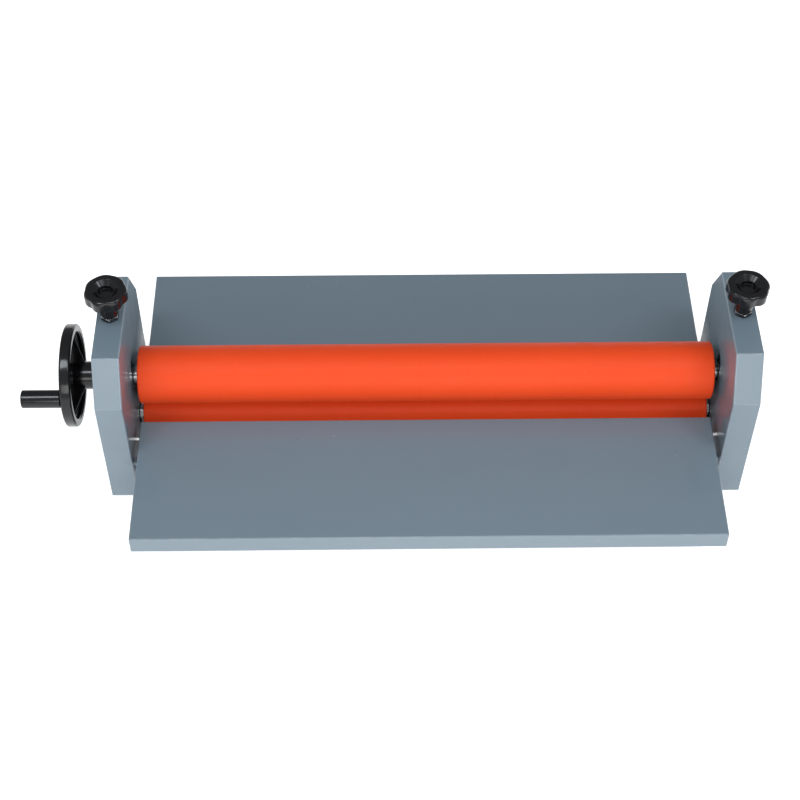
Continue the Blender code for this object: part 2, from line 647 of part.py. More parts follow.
def main():
    clear_scene()
    make_materials()
    machine = add_empty("machine_axes", location=(OFFSET_X, OFFSET_Y, 0))
    make_side(LEFT, machine)
    make_side(RIGHT, machine)
    make_roller("lower", machine, LOWER_AXIS_Z)
    make_roller("upper", machine, UPPER_AXIS_Z)
    make_tie_bars(machine)
    make_table("front", machine, FRONT_REACH, True)
    make_table("rear", machine, REAR_REACH, False)


main()
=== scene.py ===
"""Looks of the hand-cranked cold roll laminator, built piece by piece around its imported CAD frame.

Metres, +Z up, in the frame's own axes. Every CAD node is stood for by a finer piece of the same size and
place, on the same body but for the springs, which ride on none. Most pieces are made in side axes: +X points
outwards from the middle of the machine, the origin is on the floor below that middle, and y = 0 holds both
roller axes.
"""

import json
import math

import bmesh
import bpy
from mathutils import Matrix, Vector

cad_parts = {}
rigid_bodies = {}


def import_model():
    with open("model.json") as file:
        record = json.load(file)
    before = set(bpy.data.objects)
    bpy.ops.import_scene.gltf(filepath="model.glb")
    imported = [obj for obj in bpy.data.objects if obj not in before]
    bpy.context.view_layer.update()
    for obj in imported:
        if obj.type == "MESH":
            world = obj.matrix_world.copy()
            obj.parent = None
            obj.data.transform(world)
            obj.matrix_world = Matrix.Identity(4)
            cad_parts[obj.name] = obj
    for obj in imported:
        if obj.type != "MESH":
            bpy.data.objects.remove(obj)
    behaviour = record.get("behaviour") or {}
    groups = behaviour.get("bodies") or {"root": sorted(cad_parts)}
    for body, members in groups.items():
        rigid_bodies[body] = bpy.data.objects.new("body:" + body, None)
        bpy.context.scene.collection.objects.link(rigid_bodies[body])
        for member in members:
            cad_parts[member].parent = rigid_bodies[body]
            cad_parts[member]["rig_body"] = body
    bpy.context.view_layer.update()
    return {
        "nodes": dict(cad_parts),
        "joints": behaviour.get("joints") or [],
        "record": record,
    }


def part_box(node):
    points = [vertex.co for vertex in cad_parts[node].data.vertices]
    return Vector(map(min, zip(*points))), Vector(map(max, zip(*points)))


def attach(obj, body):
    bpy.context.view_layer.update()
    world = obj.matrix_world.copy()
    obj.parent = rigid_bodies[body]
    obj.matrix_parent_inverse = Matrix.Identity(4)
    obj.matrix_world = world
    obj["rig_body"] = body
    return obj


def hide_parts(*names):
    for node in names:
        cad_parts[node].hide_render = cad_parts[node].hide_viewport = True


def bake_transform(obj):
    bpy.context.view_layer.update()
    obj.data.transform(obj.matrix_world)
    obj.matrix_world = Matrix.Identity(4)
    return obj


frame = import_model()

# Places and sizes, from the frame ----------------------------


def middle(node):
    low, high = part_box(node)
    return (low + high) / 2


def half_size(node):
    low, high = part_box(node)
    return (high - low) / 2


LEFT = "left"
RIGHT = "right"
SIDES = (LEFT, RIGHT)
ENDS = ("front", "rear")

GAP = 0.0003                      # clearance between neighbouring pieces
CENTRE = Vector((middle("front_tie_bar").x, middle("right_outer_cover").y, 0))
ROLLER_RADIUS = half_size("upper_roller_sleeve").z
ROLLER_HALF_LENGTH = half_size("upper_roller_sleeve").x
UPPER_AXIS_Z = middle("upper_roller_sleeve").z
LOWER_AXIS_Z = middle("lower_roller_sleeve").z
TUBE_RADIUS = half_size("upper_roller_tube").z
LIFT = frame["joints"][0]["range_m"][1]

HOUSING_INNER = half_size("front_tie_bar").x + GAP
HOUSING_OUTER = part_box("right_outer_cover")[1].x - CENTRE.x
FOOT_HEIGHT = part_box("right_side_frame")[0].z
TOP_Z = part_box("right_side_frame")[1].z
HALF_DEPTH = half_size("right_side_frame").y
MID_WIDTH = (HOUSING_INNER + HOUSING_OUTER) / 2
PIVOT_Z = middle("right_front_table_pivot").z
PIVOT_OFFSET = middle("right_rear_table_pivot").y - CENTRE.y
TIE_BAR_Z = middle("front_tie_bar").z
TIE_BAR_OFFSET = middle("rear_tie_bar").y - CENTRE.y
TABLE_TOP_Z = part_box("front_table")[1].z
TABLE_BOTTOM_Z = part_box("front_table")[0].z
TABLE_HALF_WIDTH = half_size("front_table").x

# Sizes that the boxes don't show ----------------------------

TOP_HALF_DEPTH = 0.063            # of the housing's flat top
SHOULDER_Z = FOOT_HEIGHT + 0.161  # where the housing's upright sides end
WALL = 0.003
BAND = 0.0025                     # rim of the side frame
COVER = 0.0015
FOLD_RADIUS = 0.0016              # outside of a fold in painted sheet
TABLE_SHEET = 0.0015
TUBE_WALL = 0.004
WALL_SLOT_HALF_WIDTH = 0.014
COVER_SLOT_HALF_WIDTH = 0.012
BLOCK_HALF_WIDTH = 0.023
BLOCK_HALF_HEIGHT = 0.0225
GUIDE_WIDTH = 0.006
LUG_SIZE = 0.012
PIVOT_RADIUS = 0.0025
STOP_OFFSET = 0.024
BOLT_RADIUS = 0.004
BEARING_RADIUS = 0.0175
JOURNAL_RADIUS = 0.0085
SHOULDER_RADIUS = 0.010
COLLAR_RADIUS = 0.014
STUD_RADIUS = 0.006
STUD_PITCH = 0.00175
KNOB_LOBES = 7
KNOB_TIP_RADIUS = 0.0245
KNOB_LOBE_RADIUS = 0.0108         # of the arc that rounds one lobe, seen from above
LOBE_FILLET = 0.0008              # softening where two lobes meet
KNOB_NECK_RADIUS = 0.0100
KNOB_DISC = 0.0172                # thickness of the lobed disc
KNOB_EDGE = 0.0050                # rounding of its top edge
KNOB_FLARE = 0.010                # height over which the neck widens into the lobes
KNOB_DISH_RADIUS = 0.0150
KNOB_DISH_DEPTH = 0.0045
KNOB_WELL_RADIUS = 0.0088
KNOB_WELL_DEPTH = 0.0090
KNOB_TURNS = {LEFT: 22, RIGHT: 4}
BOSS_RADIUS = 0.0085
RIM_THICKNESS = 0.0095
RIM_WIDTH = 0.0129
HUB_RADIUS = 0.0165
BUSH_RADIUS = 0.011
WEB = 0.004
RIB_ANGLES = (350, 110, 230)
RIB_THICKNESS = 0.004
SET_SCREW_ANGLE = -39.7
SET_SCREW_RADIUS = 0.003
SET_SCREW_PLACE = 0.007           # along the hub, from its inner end

WALL_OUTER = HOUSING_INNER + WALL
COVER_INNER = HOUSING_OUTER - COVER
SHOULDER_SLOPE = (HALF_DEPTH - TOP_HALF_DEPTH) / (TOP_Z - SHOULDER_Z)
SIDE_TURNS = {LEFT: Matrix.Rotation(math.pi, 4, "Z"), RIGHT: Matrix.Rotation(0.0, 4, "Z")}
SLOTS = {part["node"]: part["material_slot"] for part in frame["record"]["subparts"]}


# Materials ----------------------------


class Finish:
    """A procedural material under construction: a Principled shader and the nodes that feed it."""

    def __init__(self, name):
        self.material = bpy.data.materials.new(name)
        self.material.use_nodes = True
        self.tree = self.material.node_tree
        self.shader = self.tree.nodes["Principled BSDF"]
        self.coordinates = self.tree.nodes.new("ShaderNodeTexCoord").outputs["Object"]

    def add(self, kind, **inputs):
        node = self.tree.nodes.new(kind)
        for name, value in inputs.items():
            self.feed(node.inputs[name.replace("_", " ")], value)
        return node

    def feed(self, socket, value):
        if isinstance(value, bpy.types.NodeSocket):
            self.tree.links.new(value, socket)
        else:
            socket.default_value = value

    def set(self, **inputs):
        for name, value in inputs.items():
            self.feed(self.shader.inputs[name.replace("_", " ")], value)

    def place(self, offset, stretch=(1, 1, 1)):
        """The coordinates of a texture, moved by an offset and drawn out along an axis by its stretch."""
        scale = tuple(1 / s for s in stretch)
        return self.add("ShaderNodeMapping", Vector=self.coordinates, Scale=scale, Location=offset).outputs[0]

    def noise(self, size, detail=3.0, stretch=(1, 1, 1), offset=(0, 0, 0)):
        """Noise with features of a size in metres."""
        place = self.place(offset, stretch)
        return self.add("ShaderNodeTexNoise", Vector=place, Scale=1 / size, Detail=detail).outputs[0]

    def specks(self, size, share, offset=(0, 0, 0)):
        """Small round spots on a random share of the cells of a grid; 1 inside a spot."""
        cells = self.add("ShaderNodeTexVoronoi", Vector=self.place(offset), Scale=1 / size)
        near = self.spread(cells.outputs["Distance"], 0.10, 0.04, 0.0, 1.0)
        apart = self.add("ShaderNodeSeparateColor", Color=cells.outputs["Color"])
        chosen = self.spread(apart.outputs[0], 1 - share, 1 - share * 0.9, 0.0, 1.0)
        return self.math("MULTIPLY", near, chosen)

    def spread(self, value, low, high, to_low, to_high):
        """Map the range low to high onto to_low to to_high, clamped."""
        node = self.add("ShaderNodeMapRange", Value=value)
        node.inputs["From Min"].default_value = low
        node.inputs["From Max"].default_value = high
        node.inputs["To Min"].default_value = to_low
        node.inputs["To Max"].default_value = to_high
        return node.outputs[0]

    def math(self, operation, first, second):
        node = self.tree.nodes.new("ShaderNodeMath")
        node.operation = operation
        self.feed(node.inputs[0], first)
        self.feed(node.inputs[1], second)
        return node.outputs[0]

    def mix(self, share, first, second):
        """Blend two colours."""
        node = self.tree.nodes.new("ShaderNodeMix")
        node.data_type = "RGBA"
        self.feed(node.inputs["Factor"], share)
        for socket, colour in zip(node.inputs[6:8], (first, second)):
            self.feed(socket, colour if isinstance(colour, bpy.types.NodeSocket) else (*colour, 1.0))
        return node.outputs[2]

    def bump(self, height, depth, strength=1.0, under=None):
        """Raise the surface by up to depth metres where height is 1, on top of another bump."""
        node = self.add("ShaderNodeBump", Height=height, Strength=strength, Distance=depth)
        if under is not None:
            self.feed(node.inputs["Normal"], under)
        return node.outputs[0]


def grey_paint():
    """Semi-gloss blue-grey enamel: orange peel, patchy gloss, dust specks and faint handling scuffs."""
    finish = Finish("grey_paint")
    base = finish.mix(finish.noise(0.12, detail=2.0), (0.132, 0.180, 0.216), (0.142, 0.192, 0.229))
    base = finish.mix(finish.spread(finish.noise(0.0016), 0.35, 0.75, 0.0, 0.16), base, (0.170, 0.230, 0.275))
    scuffs = finish.spread(finish.noise(0.004, stretch=(6, 1, 1), detail=5.0), 0.71, 0.80, 0.0, 0.30)
    patches = finish.spread(finish.noise(0.05, offset=(3, 1, 2)), 0.56, 0.66, 0.0, 1.0)
    scuffs = finish.math("MULTIPLY", scuffs, patches)
    base = finish.mix(scuffs, base, (0.34, 0.40, 0.45))
    dust = finish.specks(0.009, 0.05)
    base = finish.mix(finish.math("MULTIPLY", dust, 0.35), base, (0.55, 0.58, 0.62))
    gloss = finish.spread(finish.noise(0.03, offset=(1, 5, 2)), 0.3, 0.7, 0.40, 0.48)
    peel = finish.bump(finish.noise(0.0022, detail=1.5), 0.00003, 0.4)
    peel = finish.bump(dust, 0.00006, 0.6, peel)
    finish.set(Base_Color=base, Roughness=gloss, Normal=peel, Specular_IOR_Level=0.36)
    finish.set(Coat_Weight=0.45, Coat_Roughness=0.10)
    return finish.material


def fold_highlight_paint():
    """The same enamel, lighter on the outside of a fold: a painted highlight for the light that the rounded
    fold catches.
    """
    finish = Finish("fold_highlight_paint")
    patchy_highlight = finish.spread(finish.noise(0.02, detail=4.0), 0.35, 0.70, 0.0, 1.0)
    # lighter blue-greys than the flat enamel, blended by noise: a painted highlight on every fold face
    base = finish.mix(patchy_highlight, (0.150, 0.198, 0.236), (0.205, 0.250, 0.290))
    finish.set(Base_Color=base, Roughness=0.32, Coat_Weight=0.45, Coat_Roughness=0.10)
    return finish.material


def roller_rubber():
    """Ground silicone rubber: fine grain, faint grinding rings round the roller and a little dust."""
    finish = Finish("roller_rubber")
    base = finish.mix(finish.noise(0.09, detail=2.0), (0.70, 0.052, 0.007), (0.75, 0.062, 0.010))
    rings = finish.noise(0.0012, stretch=(1, 400, 400), detail=2.0)
    base = finish.mix(finish.spread(rings, 0.35, 0.75, 0.0, 0.12), base, (0.90, 0.11, 0.03))
    dust = finish.specks(0.012, 0.05, offset=(2, 2, 1))
    base = finish.mix(finish.math("MULTIPLY", dust, 0.25), base, (0.95, 0.45, 0.35))
    gloss = finish.spread(finish.noise(0.02, offset=(4, 1, 1)), 0.3, 0.7, 0.46, 0.56)
    grain = finish.bump(finish.noise(0.0005, detail=2.0), 0.00002, 0.5)
    grain = finish.bump(rings, 0.00001, 0.3, grain)
    finish.set(Base_Color=base, Roughness=gloss, Normal=grain, Specular_IOR_Level=0.20)
    return finish.material


def black_bakelite(name="black_bakelite", dulled=0.0):
    """Glossy black phenolic moulding with a slight flow pattern and fine hand marks; handling dulls it."""
    finish = Finish(name)
    base = finish.mix(finish.noise(0.01), (0.003, 0.003, 0.0035), (0.006, 0.006, 0.007))
    gloss = finish.spread(finish.noise(0.006, detail=5.0), 0.3, 0.7, 0.10 + dulled, 0.17 + dulled)
    skin = finish.bump(finish.noise(0.003, detail=2.0), 0.00003, 0.35)
    finish.set(Base_Color=base, Roughness=gloss, Normal=skin, Specular_IOR_Level=0.36)
    return finish.material


def turned_steel(name, stretch, tone=0.60, roughness=0.26):
    """Bright steel with lathe marks; stretch draws the marks out round the piece's own axis."""
    finish = Finish(name)
    marks = finish.noise(0.00035, stretch=stretch, detail=2.0)
    shade = (tone, tone, tone * 1.01)
    base = finish.mix(finish.spread(marks, 0.3, 0.7, 0.0, 0.35), shade, tuple(0.78 * part for part in shade))
    stain = finish.spread(finish.noise(0.008, detail=4.0), 0.55, 0.75, 0.0, 0.25)
    base = finish.mix(stain, base, (0.30, 0.27, 0.24))
    gloss = finish.spread(marks, 0.3, 0.7, roughness - 0.06, roughness + 0.08)
    finish.set(Base_Color=base, Metallic=1.0, Roughness=gloss, Normal=finish.bump(marks, 0.00002, 0.4))
    return finish.material


def dark_steel():
    """Black-oxide steel, a little worn and oily."""
    finish = Finish("dark_steel")
    base = finish.mix(finish.noise(0.004, detail=4.0), (0.045, 0.047, 0.052), (0.10, 0.10, 0.105))
    gloss = finish.spread(finish.noise(0.002, detail=4.0), 0.3, 0.7, 0.28, 0.42)
    grain = finish.bump(finish.noise(0.0008), 0.00002, 0.4)
    finish.set(Base_Color=base, Metallic=1.0, Roughness=gloss, Normal=grain)
    return finish.material


def cast_block():
    """Machined cast iron, grainy and slightly oily."""
    finish = Finish("cast_block")
    grain = finish.noise(0.0012, detail=6.0)
    base = finish.mix(grain, (0.13, 0.13, 0.135), (0.27, 0.27, 0.275))
    gloss = finish.spread(finish.noise(0.006), 0.3, 0.7, 0.42, 0.62)
    finish.set(Base_Color=base, Metallic=0.85, Roughness=gloss, Normal=finish.bump(grain, 0.00008, 0.6))
    return finish.material


def foot_rubber():
    """Matt black rubber with a moulded grain."""
    finish = Finish("foot_rubber")
    grain = finish.noise(0.0008, detail=4.0)
    base = finish.mix(grain, (0.012, 0.012, 0.012), (0.030, 0.030, 0.030))
    finish.set(Base_Color=base, Roughness=0.78, Normal=finish.bump(grain, 0.00006, 0.6))
    return finish.material


ALONG_X = (1, 60, 60)
ALONG_Z = (60, 60, 1)
MATERIALS = {
    "grey_paint": grey_paint(),
    "roller_rubber": roller_rubber(),
    "black_bakelite": black_bakelite(),
    "bright_steel": turned_steel("bright_steel", ALONG_X),
    "dark_steel": dark_steel(),
    "cast_block": cast_block(),
    "foot_rubber": foot_rubber(),
}
UPRIGHT_STEEL = turned_steel("upright_steel", ALONG_Z, tone=0.52, roughness=0.30)
POLISHED_STEEL = turned_steel("polished_steel", ALONG_X, tone=0.52, roughness=0.17)
# lighter enamel for fold faces: a painted highlight
FOLD_HIGHLIGHT_PAINT = fold_highlight_paint()
KNOB_BAKELITE = black_bakelite("knob_bakelite", dulled=0.05)


# Outlines and solids ----------------------------


def rounded(corners, closed=True, steps=4):
    """An outline of (u, v, radius) corners as points, with an arc of that radius at each corner."""
    points = []
    for i, (u, v, radius) in enumerate(corners):
        corner = Vector((u, v))
        if radius == 0 or (not closed and i in (0, len(corners) - 1)):
            points.append(corner)
            continue
        back = (Vector(corners[i - 1][:2]) - corner).normalized()
        ahead = (Vector(corners[(i + 1) % len(corners)][:2]) - corner).normalized()
        half = back.angle(ahead) / 2
        centre = corner + (back + ahead).normalized() * radius / math.sin(half)
        start = corner + back * radius / math.tan(half) - centre
        end = corner + ahead * radius / math.tan(half) - centre
        sweep = start.angle(end)
        for k in range(steps + 1):
            angle = sweep * k / steps
            blended = start * math.sin(sweep - angle) + end * math.sin(angle)
            points.append(centre + blended / math.sin(sweep))
    return points


def loft(rings, closed):
    """Skin equal rings of points; closed joins the last ring to the first, otherwise both ends are capped."""
    shape = bmesh.new()
    loops = [[shape.verts.new(point) for point in ring] for ring in rings]
    pairs = list(zip(loops, loops[1:]))
    if closed:
        pairs.append((loops[-1], loops[0]))
    count = len(loops[0])
    for first, second in pairs:
        for i in range(count):
            j = (i + 1) % count
            shape.faces.new((first[i], first[j], second[j], second[i]))
    if not closed:
        shape.faces.new(loops[0])
        shape.faces.new(loops[-1])
    return shape


def around(along, radius, angle, upright):
    """The point at a distance along X and an angle about it, or the same with Z when upright."""
    u = radius * math.cos(angle)
    v = radius * math.sin(angle)
    return (u, v, along) if upright else (along, u, v)


def turned(profile, segments=64, bored=False, upright=False):
    """Turn (distance along the axis, radius) points about X, or about Z when upright."""
    angles = [2 * math.pi * k / segments for k in range(segments)]
    return loft([[around(along, r, a, upright) for a in angles] for along, r in profile], bored)


def bar(start, end, radius, segments=32, upright=False):
    return turned([(start, radius), (end, radius)], segments, upright=upright)


def ring_piece(start, end, bore, radius, edge, segments=64):
    """A plain tube along X with rounded edges."""
    corners = [(start, bore, edge), (start, radius, edge), (end, radius, edge), (end, bore, edge)]
    return turned(rounded(corners), segments, bored=True)


def block(low, high, edge=0.0):
    """A box between two corners, with rounded edges."""
    size = Vector(high) - Vector(low)
    centre = (Vector(high) + Vector(low)) / 2
    shape = bmesh.new()
    bmesh.ops.create_cube(shape, size=1.0, matrix=Matrix.LocRotScale(centre, None, size))
    if edge:
        bmesh.ops.bevel(shape, geom=shape.edges[:], offset=edge, segments=3, profile=0.5, affect="EDGES")
    return shape


def extruded(outline, start, end):
    """Extrude a closed (y, z) outline along X."""
    return loft([[(x, y, z) for y, z in outline] for x in (start, end)], False)


def moved(shape, offset):
    bmesh.ops.translate(shape, verts=shape.verts, vec=offset)
    return shape


def spun(shape, degrees):
    """Turn a shape about X, from +Y towards +Z."""
    bmesh.ops.rotate(shape, verts=shape.verts, matrix=Matrix.Rotation(math.radians(degrees), 3, "X"))
    return shape


def slot_outline(half_width, low, high, arc_points=17):
    """A vertical slot with round ends, whose end arcs are centred at the heights low and high."""
    top = [math.pi * k / (arc_points - 1) for k in range(arc_points)]
    points = [(half_width * math.cos(a), high + half_width * math.sin(a)) for a in top]
    points += [(-half_width * math.cos(a), low - half_width * math.sin(a)) for a in top]
    return points


def flared_slot(mouth, depth, half_width, low, high, edge):
    """A cutter for a vertical slot through a wall, with a chamfer of one edge at its mouth."""
    over = 0.002
    levels = [
        (mouth - over, half_width + edge + over), (mouth + edge, half_width), (mouth + depth, half_width),
    ]
    return loft([[(x, y, z) for y, z in slot_outline(width, low, high)] for x, width in levels], False)


def flared_hole(mouth, depth, radius, edge, segments=32):
    """A cutter for a round hole along X with a chamfered mouth; depth may be negative."""
    over = math.copysign(0.002, depth)
    flare = math.copysign(edge, depth)
    profile = [(mouth - over, radius + edge + abs(over)), (mouth + flare, radius), (mouth + depth, radius)]
    return turned(profile, segments)


def hexagon(start, end, corner_radius, bore, upright=False, points_per_side=6):
    """A chamfered hexagon, with its bore or, if that is 0, solid."""
    flat = corner_radius * math.cos(math.pi / 6)
    bevel_start = flat - 0.0004
    slope = math.tan(math.radians(32))
    count = 6 * points_per_side
    angles = [2 * math.pi * k / count for k in range(count)]

    def reach(angle):
        return flat / math.cos(angle % (math.pi / 3) - math.pi / 6)

    def face(along):
        return [around(along, bevel_start, a, upright) for a in angles]

    def side(along, way):
        return [around(along + way * slope * (reach(a) - bevel_start), reach(a), a, upright) for a in angles]

    rings = [face(start), side(start, 1), side(end, -1), face(end)]
    if bore:
        edge = 0.0006
        mouth = bore + edge
        for along, radius in ((end, mouth), (end - edge, bore), (start + edge, bore), (start, mouth)):
            rings.append([around(along, radius, a, upright) for a in angles])
    return loft(rings, bool(bore))


def threaded(low, high, radius, pitch, segments=24, rows_per_turn=12):
    """An upright rod with a real helical thread and chamfered ends."""
    depth = 0.61 * pitch
    rows = round((high - low) / pitch * rows_per_turn)
    rings = []
    for row in range(rows + 1):
        z = low + (high - low) * row / rows
        end_limit = radius - depth + min(z - low, high - z)
        ring = []
        for k in range(segments):
            phase = ((z - low) / pitch - k / segments) % 1.0
            height = min(1.0, max(0.0, 1.25 - abs(phase - 0.5) * 3.2))
            reach = min(radius - depth + depth * height, end_limit)
            angle = 2 * math.pi * k / segments
            ring.append((reach * math.cos(angle), reach * math.sin(angle), z))
        rings.append(ring)
    return loft(rings, False)


def combined(shape, operation, tools):
    """Join ("UNION") or cut ("DIFFERENCE") shapes; returns a new shape and uses up the old ones."""
    base = mesh_object("helper", shape)
    helpers = [base]
    for tool in tools:
        helpers.append(mesh_object("helper", tool))
        change = base.modifiers.new("change", "BOOLEAN")
        change.operation = operation
        change.solver = "EXACT"
        change.object = helpers[-1]
    bpy.context.view_layer.update()
    evaluated = base.evaluated_get(bpy.context.evaluated_depsgraph_get())
    result = bmesh.new()
    result.from_mesh(evaluated.to_mesh())
    evaluated.to_mesh_clear()
    for helper in helpers:
        bpy.data.meshes.remove(helper.data)
    return result


def mesh_object(name, shape):
    """Put a shape into the scene as an object, and use it up."""
    bmesh.ops.recalc_face_normals(shape, faces=shape.faces)
    mesh = bpy.data.meshes.new(name)
    shape.to_mesh(mesh)
    shape.free()
    result = bpy.data.objects.new(name, mesh)
    bpy.context.scene.collection.objects.link(result)
    return result


def side_axes(side, location=(0, 0, 0)):
    """The placement of a side's axes, moved by a location given in them."""
    return Matrix.Translation(CENTRE) @ SIDE_TURNS[side] @ Matrix.Translation(location)


def outward(side, node):
    """Where a node starts and ends along its side's outward axis."""
    low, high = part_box(node)
    if side == LEFT:
        return CENTRE.x - high.x, CENTRE.x - low.x
    return low.x - CENTRE.x, high.x - CENTRE.x


def at_node(side, node):
    """Side axes moved to a node's middle, but not along X, which outward() gives."""
    place = middle(node)
    return Matrix.Translation((CENTRE.x, place.y, place.z)) @ SIDE_TURNS[side]


def add_piece(node, shape, placement, material=None, rides=True):
    """Make a piece that stands for its CAD node, with the material named for its slot unless another is given
    and, if it rides, the same body.

    The placement's turn goes into the mesh, so that the object keeps the frame's axes.
    """
    piece = mesh_object(f"{node}_fine", shape)
    piece.data.transform(placement.to_3x3().to_4x4())
    piece.data.shade_smooth()
    piece.data.set_sharp_from_angle(angle=math.radians(34))
    piece.data.materials.append(material or MATERIALS[SLOTS[node]])
    piece.location = placement.translation
    normals = piece.modifiers.new("flat_faces_stay_flat", "WEIGHTED_NORMAL")
    normals.keep_sharp = True
    if rides:
        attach(piece, frame["nodes"][node]["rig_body"])
    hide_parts(node)
    return piece


def paint_faces(piece, material, chosen):
    """Give a second material to the faces whose normal is chosen."""
    piece.data.materials.append(material)
    for face in piece.data.polygons:
        if chosen(face.normal):
            face.material_index = 1


def is_folded(normal):
    """True of a normal that lies between two flat sides of painted sheet."""
    shoulder = Vector((0, 1, SHOULDER_SLOPE)).normalized()
    across = Vector((abs(normal.x), abs(normal.y), abs(normal.z)))
    return max(across) < 0.998 and across.dot(shoulder) < 0.998


# The side frames and covers ----------------------------


def housing_outline(inset):
    """The housing's six-sided outline in (y, z), its sides moved inwards by inset and its corners rounded."""
    corners = [
        (-HALF_DEPTH, FOOT_HEIGHT), (HALF_DEPTH, FOOT_HEIGHT), (HALF_DEPTH, SHOULDER_Z),
        (TOP_HALF_DEPTH, TOP_Z), (-TOP_HALF_DEPTH, TOP_Z), (-HALF_DEPTH, SHOULDER_Z),
    ]
    points = [Vector(corner) for corner in corners]
    radius = max(FOLD_RADIUS - inset, 0.0004)
    result = []
    for i, point in enumerate(points):
        before = (point - points[i - 1]).normalized()
        after = (points[(i + 1) % len(points)] - point).normalized()
        normals = [Vector((-edge.y, edge.x)) for edge in (before, after)]
        place = point + inset * (normals[0] + normals[1]) / (1 + normals[0].dot(normals[1]))
        result.append((place.x, place.y, radius))
    return rounded(result)


def screw_places(side):
    """(y, z) of the four cover screws in the side's axes, with their nodes."""
    places = []
    for level in ("lower", "upper"):
        for end in ENDS:
            node = f"{side}_cover_screw_{level}_{end}"
            spot = middle(node)
            across = CENTRE.y - spot.y if side == LEFT else spot.y - CENTRE.y
            places.append((node, across, spot.z))
    return places


def make_side_frame(side):
    """A welded pan: inner wall and rim, with guides, a ledge, screw lugs and table stops."""
    profile = rounded([
        (HOUSING_INNER, 2 * FOLD_RADIUS, 0), (HOUSING_INNER, 0, FOLD_RADIUS), (HOUSING_OUTER, 0, 0.0005),
        (HOUSING_OUTER, BAND, 0.0003), (WALL_OUTER, BAND, 0.0010), (WALL_OUTER, BAND + 0.003, 0),
    ], closed=False)
    pan = loft([[(x, y, z) for y, z in housing_outline(inset)] for x, inset in profile], False)

    guide_start = BLOCK_HALF_WIDTH + GAP
    ledge_top = LOWER_AXIS_Z - BLOCK_HALF_HEIGHT - GAP
    guide_low = ledge_top - GUIDE_WIDTH
    guide_top = UPPER_AXIS_Z + BLOCK_HALF_HEIGHT + LIFT
    root = WALL_OUTER - WALL / 2
    joins = [block((root, low, guide_low), (MID_WIDTH, low + GUIDE_WIDTH, guide_top), 0.0006)
             for low in (guide_start, -guide_start - GUIDE_WIDTH)]
    ledge_low = (root, -guide_start - WALL, guide_low + 0.0001)
    joins.append(block(ledge_low, (MID_WIDTH - 0.0001, guide_start + WALL, ledge_top)))
    stop_z = TABLE_BOTTOM_Z - GAP - PIVOT_RADIUS
    stop = rounded([(TABLE_HALF_WIDTH - 0.003, 0.001, 0), (TABLE_HALF_WIDTH - 0.003, PIVOT_RADIUS, 0.0006),
                    (root, PIVOT_RADIUS, 0)], closed=False)
    joins += [moved(turned(stop, 24), (0, way * (PIVOT_OFFSET + STOP_OFFSET), stop_z)) for way in (1, -1)]
    places = screw_places(side)
    joins += [make_lug(y, z) for _, y, z in places]
    pan = combined(pan, "UNION", joins)

    edge = 0.0004
    depth = WALL + 0.004
    cuts = [flared_slot(HOUSING_INNER, depth, WALL_SLOT_HALF_WIDTH, UPPER_AXIS_Z, UPPER_AXIS_Z + LIFT, edge),
            moved(flared_hole(HOUSING_INNER, depth, WALL_SLOT_HALF_WIDTH, edge), (0, 0, LOWER_AXIS_Z))]
    for way in (1, -1):
        for radius, offset, height in ((PIVOT_RADIUS, PIVOT_OFFSET, PIVOT_Z),
                                       (BOLT_RADIUS, TIE_BAR_OFFSET, TIE_BAR_Z)):
            hole = flared_hole(HOUSING_INNER, depth, radius + GAP, edge)
            cuts.append(moved(hole, (0, way * offset, height)))
    cuts.append(moved(bar(-0.01, 0.01, STUD_RADIUS + GAP, upright=True), (MID_WIDTH, 0, TOP_Z)))
    cuts += [moved(bar(COVER_INNER - 0.012, HOUSING_OUTER, 0.0023, 16), (0, y, z)) for _, y, z in places]
    frame_piece = add_piece(f"{side}_side_frame", combined(pan, "DIFFERENCE", cuts), side_axes(side))
    # the fold faces take the lighter enamel, a painted highlight
    paint_faces(frame_piece, FOLD_HIGHLIGHT_PAINT, is_folded)


def make_lug(y, z):
    """A tapped lug behind one cover screw, reaching into the nearest stretch of the rim."""
    half = LUG_SIZE / 2
    outline = []
    for height in (z - half, z + half):
        rim_y = HALF_DEPTH - SHOULDER_SLOPE * max(0.0, height - SHOULDER_Z) - BAND / 2
        outline.append((math.copysign(rim_y, y), height))
    inner_y = y - math.copysign(half, y)
    outline += [(inner_y, z + half), (inner_y, z - half)]
    return extruded(outline, COVER_INNER - 0.011, COVER_INNER - GAP)


def make_cover(side):
    """The flat outer cover in the rim, countersunk for its screws; the left one has a slot for the shaft."""
    edge = 0.0004
    inset = BAND + GAP
    profile = rounded([
        (COVER_INNER, inset + 0.004, 0), (COVER_INNER, inset, edge),
        (HOUSING_OUTER, inset, edge), (HOUSING_OUTER, inset + 0.004, 0),
    ], closed=False)
    plate = loft([[(x, y, z) for y, z in housing_outline(depth)] for x, depth in profile], False)
    head = [(COVER_INNER - 0.002, 0.0027), (COVER_INNER, 0.0027), (HOUSING_OUTER + 0.001, 0.0052)]
    cuts = [moved(turned(head, 24), (0, y, z)) for _, y, z in screw_places(side)]
    if side == LEFT:
        outline = slot_outline(COVER_SLOT_HALF_WIDTH, UPPER_AXIS_Z, UPPER_AXIS_Z + LIFT)
        cuts.append(extruded(outline, COVER_INNER - 0.002, HOUSING_OUTER + 0.002))
    add_piece(f"{side}_outer_cover", combined(plate, "DIFFERENCE", cuts), side_axes(side))


def cross_recess(size, depth):
    """A cutter for a cross slot in a head whose face is at x = 0."""
    width = size * 0.22
    return [block((-depth, -size / 2, -width / 2), (0.001, size / 2, width / 2), 0.0001),
            block((-depth, -width / 2, -size / 2), (0.001, width / 2, size / 2), 0.0001)]


